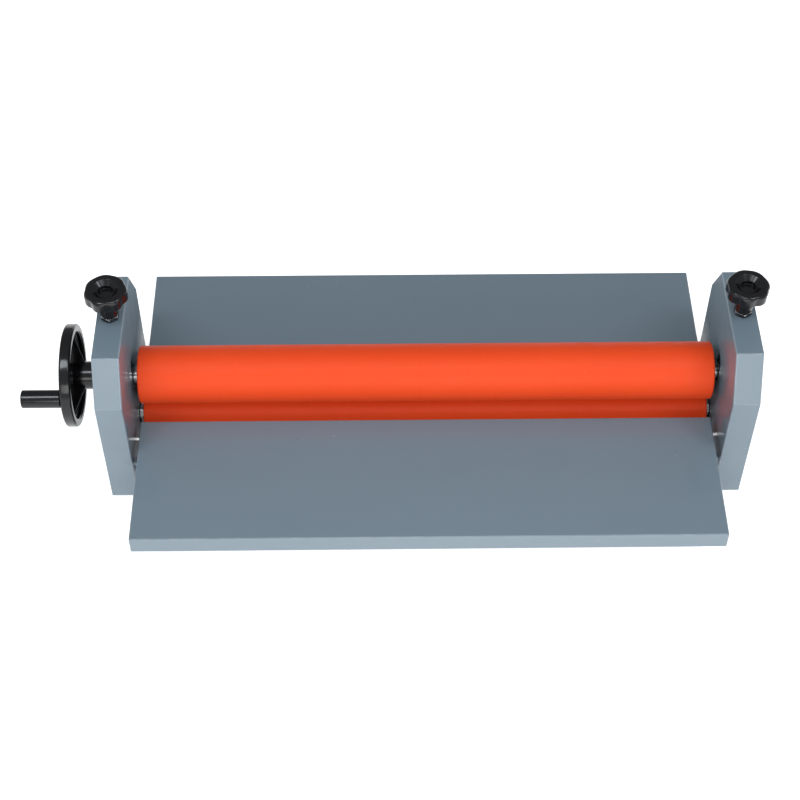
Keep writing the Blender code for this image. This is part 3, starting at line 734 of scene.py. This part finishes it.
def make_cover_screws(side):
    """Countersunk screws with a slightly domed head and a cross recess."""
    thread = [(-0.0090 + 0.0005 * k, 0.0020 - 0.0003 * (k % 2)) for k in range(14)]
    head = [(-COVER, 0.0020), (-0.0003, 0.0037), (-0.0001, 0.0037), (0.0, 0.0033), (0.0, 0.0010)]
    for node, y, z in screw_places(side):
        screw = combined(turned(thread + head, 24), "DIFFERENCE", cross_recess(0.0040, 0.0012))
        spun(screw, 17 * (y + z) / 0.01)
        add_piece(node, screw, side_axes(side, (HOUSING_OUTER, y, z)))


def make_feet(side):
    """Moulded rubber discs with a recess for their rivet."""
    height = FOOT_HEIGHT - GAP
    profile = rounded([
        (0.0012, 0.0010, 0), (0.0012, 0.0034, 0), (0.0, 0.0036, 0.0001), (0.0, 0.0110, 0.0005),
        (height, 0.0125, 0.0005), (height, 0.0040, 0),
    ], closed=False)
    for end in ENDS:
        node = f"{side}_{end}_foot"
        place = middle(node)
        add_piece(node, turned(profile, 48, upright=True), Matrix.Translation((place.x, place.y, 0)))


def make_pressure_nut(side):
    """The hexagon nut that the knob's stud runs in, one corner to the front."""
    node = f"{side}_pressure_nut"
    low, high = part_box(node)
    nut = hexagon(low.z, high.z, half_size(node).y, STUD_RADIUS + GAP, upright=True)
    turn = Matrix.Rotation(math.pi / 2, 4, "Z")
    piece = add_piece(node, nut, side_axes(side, (MID_WIDTH, 0, 0)) @ turn)
    paint_faces(piece, UPRIGHT_STEEL, lambda normal: normal.z > 0.3)


# The bearings, their blocks and the lift springs ----------------------------


def make_bearing_block(side, level):
    """A block with machined edges, bored for its bearing."""
    node = f"{side}_{level}_bearing_block"
    half = half_size(node)
    body = block(-half, half, 0.0010)
    bore = BEARING_RADIUS + GAP
    cuts = [bar(-0.02, 0.02, bore, 48), flared_hole(-half.x, 0.005, bore, 0.0005, 48),
            flared_hole(half.x, -0.005, bore, 0.0005, 48)]
    body = combined(body, "DIFFERENCE", cuts)
    add_piece(node, body, side_axes(side, (MID_WIDTH, 0, middle(node).z)))


def make_bearing(side, level):
    """A ball bearing with its two races and recessed shields."""
    node = f"{side}_{level}_bearing"
    start, end = outward(side, node)
    bore = JOURNAL_RADIUS + GAP
    inner = bore + 0.0028
    outer = BEARING_RADIUS - 0.0026

    def face(along, step):
        return [(along, bore, 0.0003), (along, inner, 0.0002), (along + step, inner + 0.0001, 0),
                (along + step, outer - 0.0001, 0), (along, outer, 0.0002), (along, BEARING_RADIUS, 0.0005)]

    profile = rounded(face(start, 0.0006) + face(end, -0.0006)[::-1], steps=2)
    races = turned(profile, 64, bored=True)
    add_piece(node, races, side_axes(side, (0, 0, middle(node).z)))


def make_spring(side):
    """A coil spring with closed ends between the two blocks; it rides on no body."""
    node = f"{side}_lift_spring"
    low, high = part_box(node)
    wire = 0.0011
    coil_radius = 0.0060
    turns = 5
    steps = 28
    sides = 10
    closed_share = 0.16
    rings = []
    for k in range(turns * steps + 1):
        share = k / (turns * steps)
        angle = 2 * math.pi * k / steps
        rise = min(1.0, max(0.0, (share - closed_share) / (1 - 2 * closed_share)))
        pack = 2 * wire * turns * (min(share, closed_share) + max(0.0, share - 1 + closed_share))
        open_height = high.z - low.z - 2 * wire - 4 * wire * turns * closed_share
        centre = Vector((coil_radius * math.cos(angle), coil_radius * math.sin(angle),
                         low.z + wire + pack + rise * open_height))
        out = Vector((math.cos(angle), math.sin(angle), 0))
        rings.append([centre + wire * (math.cos(a) * out + math.sin(a) * Vector((0, 0, 1)))
                      for a in (2 * math.pi * s / sides for s in range(sides))])
    spring = add_piece(node, loft(rings, False), side_axes(side, (MID_WIDTH, 0, 0)), rides=False)
    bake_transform(spring)


# The rollers ----------------------------


def make_roller(level, axis_z):
    """Rubber sleeve with rounded ends on a steel tube."""
    half = ROLLER_HALF_LENGTH
    bore = TUBE_RADIUS + GAP
    sleeve = rounded([(-half, bore, 0.0003), (-half, ROLLER_RADIUS, 0.0020),
                      (half, ROLLER_RADIUS, 0.0020), (half, bore, 0.0003)], steps=6)
    placement = Matrix.Translation((CENTRE.x, CENTRE.y, axis_z))
    add_piece(f"{level}_roller_sleeve", turned(sleeve, 128, bored=True), placement)
    tube_half = half_size(f"{level}_roller_tube").x
    tube = ring_piece(-tube_half, tube_half, TUBE_RADIUS - TUBE_WALL, TUBE_RADIUS, 0.0004, 96)
    add_piece(f"{level}_roller_tube", tube, placement, POLISHED_STEEL)


def make_journal(side, level):
    """A plug in the roller's tube that steps down to the bearing's seat, with a centre hole in its end."""
    node = f"{side}_{level}_journal"
    start, end = outward(side, node)
    face = ROLLER_HALF_LENGTH - 0.0005
    plug = TUBE_RADIUS - TUBE_WALL - GAP
    collar_end = face + 0.003
    shoulder_end = outward(side, f"{side}_{level}_bearing")[0] - GAP
    profile = rounded([
        (start, 0.004, 0), (start, plug, 0.0008), (face, plug, 0.0004), (face, COLLAR_RADIUS, 0.0002),
        (collar_end, COLLAR_RADIUS, 0.0006), (collar_end, SHOULDER_RADIUS, 0.0004),
        (shoulder_end, SHOULDER_RADIUS, 0.0003), (shoulder_end, JOURNAL_RADIUS, 0.0003),
        (end, JOURNAL_RADIUS, 0.0008), (end, 0.0030, 0), (end - 0.0018, 0.0012, 0), (end - 0.0030, 0.0012, 0),
    ], closed=False)
    add_piece(node, turned(profile, 48), side_axes(side, (0, 0, middle(node).z)), POLISHED_STEEL)


# The handwheel and its crank ----------------------------


def make_handwheel():
    """A dished wheel of black moulding: hub, web, rim and three ribs, with a boss for the crank's bolt."""
    hub_inner, rim_outer = outward(LEFT, "handwheel")
    radius = half_size("handwheel").z
    rim_inner = rim_outer - RIM_WIDTH
    rim_bore = radius - RIM_THICKNESS
    bore = BUSH_RADIUS + GAP
    web_outer = rim_outer - 0.0015
    web_inner = web_outer - WEB
    profile = rounded([
        (hub_inner, bore, 0.0003), (hub_inner, HUB_RADIUS, 0.0012), (web_inner - 0.001, HUB_RADIUS, 0.0020),
        (web_inner, rim_bore, 0.0020), (rim_inner, rim_bore, 0.0022), (rim_inner, radius, 0.0026),
        (rim_outer, radius, 0.0026), (rim_outer, rim_bore, 0.0014), (web_outer - 0.001, HUB_RADIUS, 0),
        (rim_outer, HUB_RADIUS - 0.001, 0.0003), (rim_outer, bore, 0.0003),
    ], steps=5)
    crank = crank_offset()
    ribs = [make_rib(angle, rim_inner, rim_outer, rim_bore) for angle in RIB_ANGLES]
    boss_start = outward(LEFT, "crank_bolt")[0] - 0.0005
    boss = moved(bar(boss_start, rim_outer - 0.0001, BOSS_RADIUS, 40), crank)
    wheel = combined(turned(profile, 128, bored=True), "UNION", ribs + [boss])
    screw_hole = bar(0.008, HUB_RADIUS + 0.01, SET_SCREW_RADIUS + GAP, 24, upright=True)
    screw_hole = moved(spun(screw_hole, SET_SCREW_ANGLE - 90), (hub_inner + SET_SCREW_PLACE, 0, 0))
    bolt_hole = moved(bar(rim_inner - 0.01, rim_outer + 0.01, BOLT_RADIUS + GAP, 24), crank)
    wheel = combined(wheel, "DIFFERENCE", [screw_hole, bolt_hole])
    add_piece("handwheel", wheel, side_axes(LEFT, (0, 0, UPPER_AXIS_Z)))


def make_rib(angle, rim_inner, rim_outer, rim_bore):
    """One rib of the wheel: its free edge runs from the rim's inner face up to the hub."""
    hub_side = rim_inner - 0.010
    outline = [(hub_side, HUB_RADIUS - 0.003), (rim_outer - 0.004, HUB_RADIUS - 0.003),
               (rim_outer - 0.004, rim_bore + 0.002), (rim_inner + 0.001, rim_bore + 0.002)]
    half = RIB_THICKNESS / 2
    edge = 0.0012
    rings = []
    for across, inset in ((-half, edge), (-half + edge, 0.0), (half - edge, 0.0), (half, edge)):
        rings.append([(x + inset * (i in (0, 3)), y, across) for i, (x, y) in enumerate(outline)])
    return spun(loft(rings, False), angle)


def crank_offset():
    """From the wheel's axis to the crank's, in side axes."""
    place = middle("crank_grip")
    return Vector((0, CENTRE.y - place.y, place.z - UPPER_AXIS_Z))


def make_wheel_fittings():
    """The steel bush in the hub, and the socket screw that holds it on the journal."""
    hub_inner, rim_outer = outward(LEFT, "handwheel_bush")
    bore = JOURNAL_RADIUS + GAP
    screw_x = hub_inner + SET_SCREW_PLACE
    hole = bar(0.005, 0.02, SET_SCREW_RADIUS + GAP, 24, upright=True)
    hole = moved(spun(hole, SET_SCREW_ANGLE - 90), (screw_x, 0, 0))
    bush = combined(ring_piece(hub_inner, rim_outer, bore, BUSH_RADIUS, 0.0003), "DIFFERENCE", [hole])
    add_piece("handwheel_bush", bush, side_axes(LEFT, (0, 0, UPPER_AXIS_Z)))
    head = HUB_RADIUS + GAP
    top = head + 0.004
    profile = rounded([
        (bore, 0.001, 0), (bore, SET_SCREW_RADIUS, 0.0004), (head, SET_SCREW_RADIUS, 0),
        (head, 0.005, 0.0002), (top, 0.005, 0.0006), (top, 0.001, 0),
    ], closed=False)
    socket = [bar(top - 0.0025, top + 0.001, 0.0026, 6, upright=True)]
    screw = combined(turned(profile, 32, upright=True), "DIFFERENCE", socket)
    screw = spun(screw, SET_SCREW_ANGLE - 90)
    add_piece("handwheel_set_screw", screw, side_axes(LEFT, (screw_x, 0, UPPER_AXIS_Z)))


def make_crank():
    """The revolving grip on its bolt, which is screwed into the wheel's boss."""
    placement = side_axes(LEFT, crank_offset() + Vector((0, 0, UPPER_AXIS_Z)))
    start, end = outward(LEFT, "crank_grip")
    radius = half_size("crank_grip").z
    head_start = end - 0.0055
    head_radius = 0.0062
    clearance = 0.0004
    grip = rounded([
        (start, BOLT_RADIUS + clearance, 0.0003), (start, radius, 0.0012), (end, radius, 0.0018),
        (end, head_radius + clearance, 0.0004), (head_start - clearance, head_radius + clearance, 0),
        (head_start - clearance, BOLT_RADIUS + clearance, 0),
    ])
    add_piece("crank_grip", turned(grip, 64, bored=True), placement)
    bolt_start, bolt_end = outward(LEFT, "crank_bolt")
    thread = [(bolt_start + 0.0005 * k, BOLT_RADIUS - 0.0004 * (k % 2 == 0)) for k in range(20)]
    head = rounded([
        (head_start - 0.001, BOLT_RADIUS, 0), (head_start, BOLT_RADIUS, 0), (head_start, head_radius, 0.0002),
        (bolt_end, head_radius, 0.0006), (bolt_end, 0.001, 0),
    ], closed=False)
    bolt = turned(thread + head, 32)
    socket = bar(bolt_end - 0.002, bolt_end + 0.001, 0.0032, 6)
    add_piece("crank_bolt", combined(bolt, "DIFFERENCE", [socket]), placement)


# The pressure knobs ----------------------------


def lobe_reach(angle):
    """Distance from the knob's axis to its outline: one arc for each lobe, softened where two arcs meet."""
    half = math.pi / KNOB_LOBES
    across = (angle + half) % (2 * half) - half
    centre = KNOB_TIP_RADIUS - KNOB_LOBE_RADIUS
    arc = centre * math.cos(across) + math.sqrt(KNOB_LOBE_RADIUS ** 2 - (centre * math.sin(across)) ** 2)
    return arc + LOBE_FILLET * (across / half) ** 8


def make_knob(side):
    """A knob with lobes that fade out at its round top and in its neck, and a dish with a well in it."""
    node = f"{side}_pressure_knob"
    low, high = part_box(node)
    tip = KNOB_TIP_RADIUS
    bore = STUD_RADIUS + GAP
    bore_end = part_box(f"{side}_pressure_stud")[1].z + GAP
    disc_base = high.z - KNOB_DISC
    flare_start = disc_base - KNOB_FLARE
    neck_top = KNOB_NECK_RADIUS + 0.0005
    dish_floor = high.z - KNOB_DISH_DEPTH
    well_floor = high.z - KNOB_WELL_DEPTH
    top_flat = tip - KNOB_EDGE
    profile = rounded([
        (bore_end, 0.001, 0), (bore_end, bore, 0), (low.z, bore, 0.0003), (low.z, KNOB_NECK_RADIUS, 0.0008),
        (flare_start + 0.003, neck_top, 0.0060), (disc_base, top_flat, 0.0020),
        (disc_base + 0.0025, tip, 0.0020), (high.z, tip, KNOB_EDGE), (high.z, KNOB_DISH_RADIUS, 0.0008),
        (dish_floor, KNOB_WELL_RADIUS + 0.001, 0.0003), (dish_floor, KNOB_WELL_RADIUS, 0.0003),
        (well_floor, KNOB_WELL_RADIUS, 0.0006), (well_floor, 0.001, 0),
    ], closed=False, steps=6)
    count = KNOB_LOBES * 16
    rings = []
    for z, radius in profile:
        if z > disc_base + KNOB_DISC / 2:
            share = min(1.0, (high.z - z) / KNOB_EDGE) * (radius > top_flat - 0.0001)
        else:
            share = min(1.0, max(0.0, (radius - neck_top) / (tip - neck_top)))
        ring = []
        for k in range(count):
            angle = 2 * math.pi * k / count
            reach = radius - share * (tip - lobe_reach(angle))
            ring.append((reach * math.cos(angle), reach * math.sin(angle), z))
        rings.append(ring)
    turn = Matrix.Rotation(math.radians(KNOB_TURNS[side]), 4, "Z")
    add_piece(node, loft(rings, False), side_axes(side, (MID_WIDTH, 0, 0)) @ turn, KNOB_BAKELITE)


def make_pressure_stud(side):
    """The threaded stud, from its tip on the bearing block to its end in the knob."""
    node = f"{side}_pressure_stud"
    low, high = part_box(node)
    rod = threaded(low.z, high.z, STUD_RADIUS, STUD_PITCH)
    add_piece(node, rod, side_axes(side, (MID_WIDTH, 0, 0)), UPRIGHT_STEEL)


# The tables and the tie bars ----------------------------


def make_table(end):
    """A folded sheet tray hung on its two pivot studs."""
    node = f"{end}_table"
    half = half_size(node)
    place = middle(node)
    height = half.z
    corner_radius = 0.0012

    def outline(inset):
        x, y = half.x - inset, half.y - inset
        radius = max(corner_radius - inset, 0.0003)
        return rounded([(-x, -y, radius), (x, -y, radius), (x, y, radius), (-x, y, radius)])

    profile = rounded([
        (height, 0.006, 0), (height, 0, FOLD_RADIUS), (-height, 0, 0.0004), (-height, TABLE_SHEET, 0.0004),
        (height - TABLE_SHEET, TABLE_SHEET, 0.0004), (height - TABLE_SHEET, 0.006, 0),
    ], closed=False)
    tray = loft([[(x, y, z) for x, y in outline(inset)] for z, inset in profile], False)
    pivot_y = (1 if end == "rear" else -1) * PIVOT_OFFSET + CENTRE.y - place.y
    pivots = moved(bar(-half.x - 0.01, half.x + 0.01, PIVOT_RADIUS + GAP), (0, pivot_y, PIVOT_Z - place.z))
    tray_piece = add_piece(node, combined(tray, "DIFFERENCE", [pivots]), Matrix.Translation(place))
    # the fold faces take the lighter enamel, a painted highlight
    paint_faces(tray_piece, FOLD_HIGHLIGHT_PAINT, is_folded)


def make_pivot_studs(side):
    """Studs with a round head inside the housing, on which the tables hang."""
    head_start = WALL_OUTER + GAP
    start = TABLE_HALF_WIDTH - 0.006
    profile = rounded([
        (start, 0.001, 0), (start, PIVOT_RADIUS, 0.0005), (head_start, PIVOT_RADIUS, 0),
        (head_start, 0.0055, 0.0002), (head_start + 0.004, 0.0055, 0.0010), (head_start + 0.004, 0.001, 0),
    ], closed=False)
    for end in ENDS:
        node = f"{side}_{end}_table_pivot"
        add_piece(node, turned(profile, 32), at_node(side, node))


def make_tie_bars():
    """Round painted bars between the housings, tapped at both ends."""
    for end in ENDS:
        node = f"{end}_tie_bar"
        half = half_size(node).x
        radius = half_size(node).z
        hole = BOLT_RADIUS + GAP
        profile = rounded([
            (0.016 - half, 0.001, 0), (0.016 - half, hole, 0), (-half, hole, 0.0003), (-half, radius, 0.0008),
            (half, radius, 0.0008), (half, hole, 0.0003), (half - 0.016, hole, 0), (half - 0.016, 0.001, 0),
        ], closed=False)
        add_piece(node, turned(profile, 48), Matrix.Translation(middle(node)))


def make_tie_bolts(side):
    """Hexagon bolts that hold the tie bars from inside the housings."""
    head_start = WALL_OUTER + GAP
    start = HOUSING_INNER - 0.014
    pitch = 0.00125
    thread = []
    for k in range(int((head_start - start) / pitch)):
        along = start + pitch * k
        thread += [(along, BOLT_RADIUS - 0.0006), (along + 0.0006, BOLT_RADIUS)]
    shank = turned(thread + [(head_start + 0.001, BOLT_RADIUS)], 24)
    for end in ENDS:
        node = f"{side}_{end}_tie_bolt"
        bolt = combined(shank.copy(), "UNION", [hexagon(head_start, head_start + 0.0053, 0.0075, 0)])
        add_piece(node, bolt, at_node(side, node))
    shank.free()


# The whole machine ----------------------------


def make_machine():
    for side in SIDES:
        make_side_frame(side)
        make_cover(side)
        make_cover_screws(side)
        make_feet(side)
        make_pressure_nut(side)
        for level in ("lower", "upper"):
            make_bearing_block(side, level)
            make_bearing(side, level)
            make_journal(side, level)
        make_spring(side)
        make_knob(side)
        make_pressure_stud(side)
        make_pivot_studs(side)
        make_tie_bolts(side)
    make_roller("lower", LOWER_AXIS_Z)
    make_roller("upper", UPPER_AXIS_Z)
    make_handwheel()
    make_wheel_fittings()
    make_crank()
    for end in ENDS:
        make_table(end)
    make_tie_bars()


# Floor, light and camera ----------------------------


def painted_shade_box(finish, half_width, front, rear, fade):
    """The mask of the painted shade: 1 on the floor inside a box about the machine's middle, fading to 0
    before its edges.
    """
    axes = finish.add("ShaderNodeSeparateXYZ", Vector=finish.coordinates)
    across = finish.math("ABSOLUTE", finish.math("SUBTRACT", axes.outputs["X"], CENTRE.x), 0.0)
    along = finish.math("SUBTRACT", axes.outputs["Y"], CENTRE.y)
    sides = finish.spread(across, half_width - fade, half_width, 1.0, 0.0)
    before = finish.spread(along, front, front + fade, 0.0, 1.0)
    behind = finish.spread(along, rear - fade, rear, 1.0, 0.0)
    return finish.math("MULTIPLY", sides, finish.math("MULTIPLY", before, behind))


def make_floor():
    """A glowing white floor with painted shade under the machine, where its material is grey and glows less;
    it is not a cast shadow.
    """
    finish = Finish("floor")
    # painted shade: the floor is greyer and glows less in boxes under the tables and under the housings
    under_tables = painted_shade_box(finish, half_width=0.350, front=-0.168, rear=0.245, fade=0.10)
    under_housings = painted_shade_box(finish, half_width=0.385, front=-0.090, rear=0.170, fade=0.06)
    shade = finish.math("MAXIMUM", finish.math("MULTIPLY", under_tables, 0.35), under_housings)
    white = finish.mix(finish.noise(0.8), (0.93, 0.93, 0.93), (0.95, 0.95, 0.95))
    tone = finish.mix(shade, white, (0.20, 0.20, 0.20))
    glow = finish.spread(shade, 0.0, 1.0, 0.68, 0.05)
    finish.set(Base_Color=tone, Roughness=0.9, Specular_IOR_Level=0.0)
    finish.set(Emission_Color=(1, 1, 1, 1), Emission_Strength=glow)
    shape = bmesh.new()
    bmesh.ops.create_grid(shape, x_segments=1, y_segments=1, size=20)
    floor = mesh_object("floor", shape)
    floor.data.materials.append(finish.material)


def add_lamp(name, place, size, brightness, colour):
    """A soft rectangular lamp at a place above the middle of the floor, aimed at the machine."""
    light = bpy.data.lights.new(name, "AREA")
    light.shape = "RECTANGLE"
    light.size, light.size_y = size
    light.energy = brightness * size[0] * size[1] * math.pi
    light.color = colour
    lamp = bpy.data.objects.new(name, light)
    bpy.context.scene.collection.objects.link(lamp)
    lamp.location = CENTRE + Vector(place)
    towards = Vector(place) - Vector((0, 0, TABLE_TOP_Z))
    lamp.rotation_euler = towards.to_track_quat("Z", "Y").to_euler()
    lamp.visible_camera = False


def make_lights():
    """A dim room that is brighter in front, with three lamps overhead and a low one in front."""
    world = bpy.data.worlds.new("studio")
    world.use_nodes = True
    nodes = world.node_tree.nodes
    links = world.node_tree.links
    axes = nodes.new("ShaderNodeSeparateXYZ")
    fade = nodes.new("ShaderNodeMapRange")
    links.new(nodes.new("ShaderNodeTexCoord").outputs["Generated"], axes.inputs[0])
    links.new(axes.outputs["Y"], fade.inputs["Value"])
    fade.inputs["From Min"].default_value = -1.0
    fade.inputs["To Min"].default_value = 0.75
    fade.inputs["To Max"].default_value = 0.29
    background = nodes["Background"]
    links.new(fade.outputs[0], background.inputs["Strength"])
    background.inputs["Color"].default_value = (0.96, 0.98, 1.0, 1.0)
    bpy.context.scene.world = world
    cool = (0.86, 0.93, 1.0)
    add_lamp("left_overhead", (-0.72, -0.40, 1.36), (0.34, 0.42), 10.0, cool)
    add_lamp("right_overhead", (0.80, -0.40, 1.36), (0.34, 0.42), 9.2, cool)
    add_lamp("middle_overhead", (0.0, -0.50, 1.40), (0.60, 0.40), 5.0, (0.97, 0.98, 1.0))
    add_lamp("low_front", (0.0, -1.30, 0.56), (1.40, 0.44), 3.9, (1.0, 0.99, 0.97))


def make_camera():
    """The viewpoint: in front of the middle and well above, looking down."""
    position = Vector((-0.0510, -1.3107, 1.6463 + FOOT_HEIGHT))
    pitch, yaw, roll = (math.radians(angle) for angle in (50.40, 0.914, 0.234))
    ahead = Vector((math.sin(yaw) * math.cos(pitch), math.cos(yaw) * math.cos(pitch), -math.sin(pitch)))
    level = Vector((math.cos(yaw), -math.sin(yaw), 0))
    up = level.cross(ahead)
    right = level * math.cos(roll) + up * math.sin(roll)
    top = up * math.cos(roll) - level * math.sin(roll)
    data = bpy.data.cameras.new("camera")
    data.sensor_width = 36
    data.lens = 77.16
    camera = bpy.data.objects.new("camera", data)
    bpy.context.scene.collection.objects.link(camera)
    turn = Matrix((right, top, -ahead)).transposed().to_4x4()
    camera.matrix_world = Matrix.Translation(CENTRE + position) @ turn
    bpy.context.scene.camera = camera


make_machine()
make_floor()
make_lights()
make_camera()
bpy.context.scene.view_settings.view_transform = "Standard"
